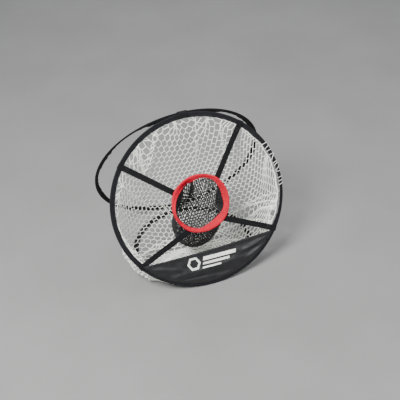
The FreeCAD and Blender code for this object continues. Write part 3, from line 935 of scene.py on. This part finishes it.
def build_net(
    name, cut, side, sections, plane, limit, pleats, folds,
    wide, spill, lean, thickness, seed, steps, drop,
):
    """Netting cut as a disc, wrapped onto its bag, left to hang within its limit, and then
    drawn into folds."""
    knots, strands, rim = honeycomb(cut, side, wide)
    lengths = np.linalg.norm(knots[strands[:, 0]] - knots[strands[:, 1]], axis=1)
    places = bag_place(knots, cut, sections, plane, seed, pleats, spill, lean)
    if plane is TARGET:
        places = draw_to_hem(places, np.hypot(*knots.T) / cut)
    places = settle(places, strands, lengths, rim, side, steps, drop, limit)
    if folds:
        free = (~rim).astype(float)
        places = draw_folds(places, free, folds)
        limit(places, free)
    return netting(name, places, strands, lengths, thickness, seed)


# Streaks where the netting has been drawn into folds: (start, end, how much).
CATCH_FOLDS = (
    ((-101, 255), (-149, 116), 3.0), ((40, 285), (39, 120), 3.0), ((127, 250), (138, 100), 2.8),
    ((306, -60), (142, -122), 2.2), ((300, -84), (185, -158), 2.2), ((282, -30), (170, -95), 1.4),
    ((-262, 112), (-150, -8), 2.0), ((-256, 140), (-190, 60), 1.6), ((-262, -120), (-190, -212), 2.1),
    ((-288, -45), (-217, -183), 1.8), ((-225, -190), (-20, -165), 1.6), ((202, 205), (275, 120), 1.6),
    ((-134, -175), (137, -205), 1.8), ((215, -165), (20, -188), 1.8), ((-210, 195), (-165, 120), 1.6),
)
# Pleats at a net's mouth: (angle and width in degrees, how much it draws in).
CATCH_PLEATS = (
    (128.0, 8.0, 2.0), (97.0, 5.0, 2.0), (73.0, 5.0, 2.0), (20.0, 6.0, 1.6), (-4.0, 5.0, 2.0),
    (-15.0, 5.0, 2.2), (-30.0, 6.0, 1.8), (-90.0, 14.0, 1.2), (-140.0, 6.0, 2.0), (-172.0, 6.0, 1.5),
    (164.0, 5.0, 2.0), (-115.0, 8.0, 1.5), (-60.0, 8.0, 1.5),
)
POCKET_PLEATS = (
    (100.0, 12.0, 1.6), (30.0, 10.0, 1.6), (-60.0, 14.0, 1.4), (-150.0, 12.0, 1.6),
    (165.0, 9.0, 1.6),
)
catch = build_net(
    "catch_netting", CATCH_CUT, CATCH_SIDE, CATCH_BAG, FRONT, keep_catch_net, CATCH_PLEATS,
    CATCH_FOLDS, wide=1.16, spill=0.49, lean=0.12, thickness=0.0026, seed=7, steps=190, drop=0.0006,
)
dress(catch, WHITE_YARN, "front_frame", "white_net", "catch_net")
pocket = build_net(
    "pocket_netting", POCKET_CUT, POCKET_SIDE, POCKET_BAG, TARGET, keep_pocket_net, POCKET_PLEATS,
    (), wide=1.0, spill=0.0, lean=0.0, thickness=0.0036, seed=8, steps=150, drop=0.0005,
)
dress(pocket, BLACK_YARN, "front_frame", "black_net", "pocket_net")

angle = np.arange(900) * 2 * math.pi / 900
wavy = ripple(angle, 61, 8, 30, 0.0008)
hem_radius, hem_lift = target_hem(angle, BORDER_BEHIND)
for label, plane, r, out, thickness, material, slot in (
    ("catch_net", FRONT, 0.2845 + wavy, -0.0040 + 0.7 * wavy, 0.0036, WHITE_YARN, "white_net"),
    ("pocket_net", TARGET, hem_radius, hem_lift, 0.0028, BLACK_YARN, "black_net"),
):
    line = plane.at(r * np.cos(angle), r * np.sin(angle), out)
    border = rope(f"{label}_border", line, thickness)
    dress(border, material, "front_frame", slot, f"{label}_edge_cord")

flat = FRONT.at(0.0, 0.0, -0.0030)
for net in (catch, pocket):
    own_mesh(net)


# ---------------------------------------------------------------- tabs where hoops meet

TAB_SIDE = 0.017  # half of a tab's width


def tab(name, profile, body, node, start_end=None):
    """A folded strip of tape through a profile of (y, z). With a start and an end it is left on no
    body; without, it rides on its body."""
    path = smooth_path(profile)
    path = np.stack((np.zeros(len(path)), path[:, 0], path[:, 1]), axis=1)
    normal = np.cross(unit(np.gradient(path, axis=0)), X)
    across = np.linspace(-TAB_SIDE, TAB_SIDE, 24)
    edge = 1 - np.clip((np.abs(across) - TAB_SIDE + 0.001) / 0.001, 0, 1)
    middle = path[:, None] + across[None, :, None] * X
    lift = normal[:, None] * (0.0004 * edge)[None, :, None]
    wrapped = np.concatenate((middle + lift, (middle - lift)[:, ::-1]), axis=1)
    piece = grid(name, wrapped, lengths_along(path), np.arange(49) * 0.0015, (False, True))
    if start_end:
        dress(piece, REAR_TAPE, None, "rear_sleeve", node)
        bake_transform(piece)
    else:
        dress(piece, REAR_TAPE, body, "rear_sleeve", node)
    return piece


def section(plane, radius, out, sign=1):
    """(y, z) of a point in a hoop's plane on its middle line, above (1) or below (-1)."""
    point = plane.at(0.0, sign * radius, out)
    return point[1], point[2]


tab(
    "top_hinge_tape",
    (
        section(FRONT, 0.287, 0.0052), section(FRONT, 0.297, 0.0054),
        section(FRONT, 0.3046, 0.0044), (0.001, 0.5668), section(REAR, 0.3046, -0.0044),
        section(REAR, 0.297, -0.0054), section(REAR, 0.287, -0.0052),
    ),
    "rear_hoop", "top_hinge_tab", ((0, -0.004, 0.5615), (0, 0.006, 0.5615)),
)
tab(
    "front_base_tape",
    (
        section(FRONT, 0.284, -0.0050, -1), section(FRONT, 0.294, -0.0052, -1),
        section(FRONT, 0.3015, -0.0056, -1), (BASE.centre[1] - 0.2125, 0.0094),
        (BASE.centre[1] - 0.206, 0.0088), (BASE.centre[1] - 0.199, 0.0080),
    ),
    "base_hoop", "front_base_tab",
    ((0, BASE.centre[1] - 0.216, 0.012), (0, BASE.centre[1] - 0.209, 0.009)),
)
rear_tab = tab(
    "rear_base_tape",
    (
        section(REAR, 0.286, 0.0052, -1), section(REAR, 0.294, 0.0056, -1), (0.2190, 0.0112),
        (0.2110, 0.0100), (0.2020, 0.0096), (0.1960, 0.0094),
    ),
    "rear_hoop", "rear_base_tab",
)
tuple(REAR.at(0.0, -0.286, 0.0046))
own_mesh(rear_tab)


# ---------------------------------------------------------------- floor, light and camera


def studio():
    """A pale floor just under the net, a soft key light from the left of the camera, a larger
    and weaker fill from its right and a faint rim light from behind."""
    across = np.linspace(-6, 6, 13)
    points = np.stack(np.broadcast_arrays(across[:, None], across[None, :], -0.0004), axis=-1)
    floor = grid("floor", points, across, across)
    nodes = Nodes("floor_paper", Roughness=0.9)
    mottle = nodes.noise(nodes.place("Object"), 3.0)
    shade = nodes.ramp(mottle, ((0.3, (0.195, 0.195, 0.191)), (0.7, (0.217, 0.217, 0.214))))
    nodes.finish(shade)
    floor.data.materials.append(nodes.material)
    world = bpy.context.scene.world or bpy.data.worlds.new("studio")
    bpy.context.scene.world = world
    world.use_nodes = True
    background = world.node_tree.nodes["Background"]
    background.inputs["Color"].default_value = (0.93, 0.96, 1.0, 1.0)
    background.inputs["Strength"].default_value = 0.41
    lights = (
        ("key", (-1.5, -1.3, 2.8), 1.1, 235.0),
        ("fill", (2.4, -1.2, 1.8), 2.4, 60.0),
        ("rim", (0.6, 2.2, 2.0), 1.6, 22.0),
    )
    for name, place, size, power in lights:
        lamp = bpy.data.lights.new(name, "AREA")
        lamp.size = size
        lamp.energy = power
        holder = bpy.data.objects.new(name, lamp)
        aim = (Vector((0, 0, 0.2)) - Vector(place)).to_track_quat("-Z", "Y")
        holder.matrix_world = Matrix.Translation(place) @ aim.to_matrix().to_4x4()
        bpy.context.scene.collection.objects.link(holder)


def camera():
    """Looks down at the net from the left of its front, a little rolled."""
    tilt, turn, roll = math.radians(37.60), math.radians(-16.08), math.radians(-3.95)
    level = math.cos(tilt)
    back = Vector((math.sin(turn) * level, -math.cos(turn) * level, math.sin(tilt)))
    right = Vector((math.cos(turn), math.sin(turn), 0.0))
    up = back.cross(right)
    across = right * math.cos(roll) + up * math.sin(roll)
    above = up * math.cos(roll) - right * math.sin(roll)
    aim, distance = Vector((0.0398, 0.0, 0.1886)), 3.249
    place = aim + back * distance
    lens = bpy.data.cameras.new("camera")
    lens.sensor_width = 36.0
    lens.lens = 82.44
    holder = bpy.data.objects.new("camera", lens)
    axes = Matrix((across, above, back)).transposed().to_4x4()
    holder.matrix_world = Matrix.Translation(place) @ axes
    bpy.context.scene.collection.objects.link(holder)
    bpy.context.scene.camera = holder


studio()
camera()
